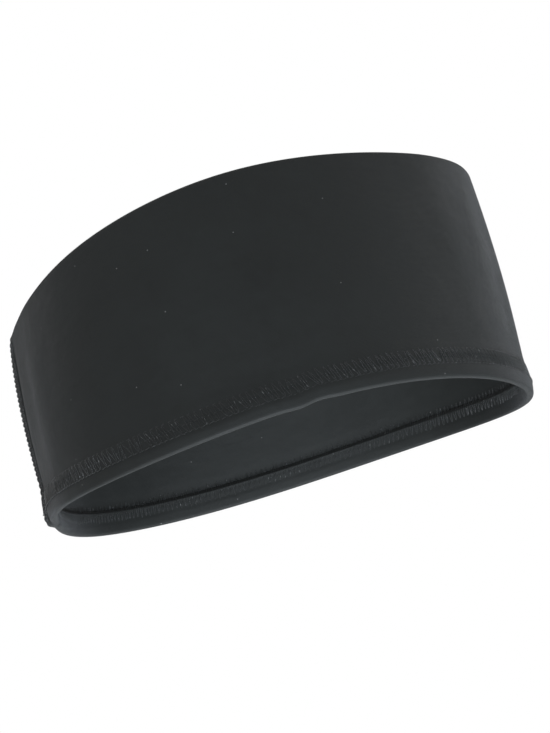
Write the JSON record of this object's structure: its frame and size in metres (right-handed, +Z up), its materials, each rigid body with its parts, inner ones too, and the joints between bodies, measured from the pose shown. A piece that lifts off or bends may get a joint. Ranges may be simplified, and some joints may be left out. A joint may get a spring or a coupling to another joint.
{
  "type": "sports headband",
  "caption": "Wide stretch-knit sports headband: a panel folded double at the top, with a cover-stitched hem and a flat back seam.",
  "frame": {"origin": "on the plane that the rim rests on, at the middle of the band's box seen from above", "axes": "+Z up as worn, +X towards the forehead with the back seam at -X, +Y towards the wearer's left"},
  "size_m": [0.1902, 0.1762, 0.0845],
  "materials": {
    "stretch_knit": "black nylon and elastane knit with a soft satin sheen",
    "sewing_thread": "black textured nylon sewing thread"
  },
  "bodies": {
    "root": {"band_panel": "stretch_knit", "hem_needle_thread_lower": "sewing_thread", "hem_needle_thread_middle": "sewing_thread", "hem_needle_thread_upper": "sewing_thread", "hem_cover_thread": "sewing_thread", "hem_looper_thread": "sewing_thread", "seam_needle_thread_left": "sewing_thread", "seam_needle_thread_middle": "sewing_thread", "seam_needle_thread_right": "sewing_thread", "seam_cover_thread": "sewing_thread", "seam_looper_thread": "sewing_thread"}
  },
  "joints": []
}
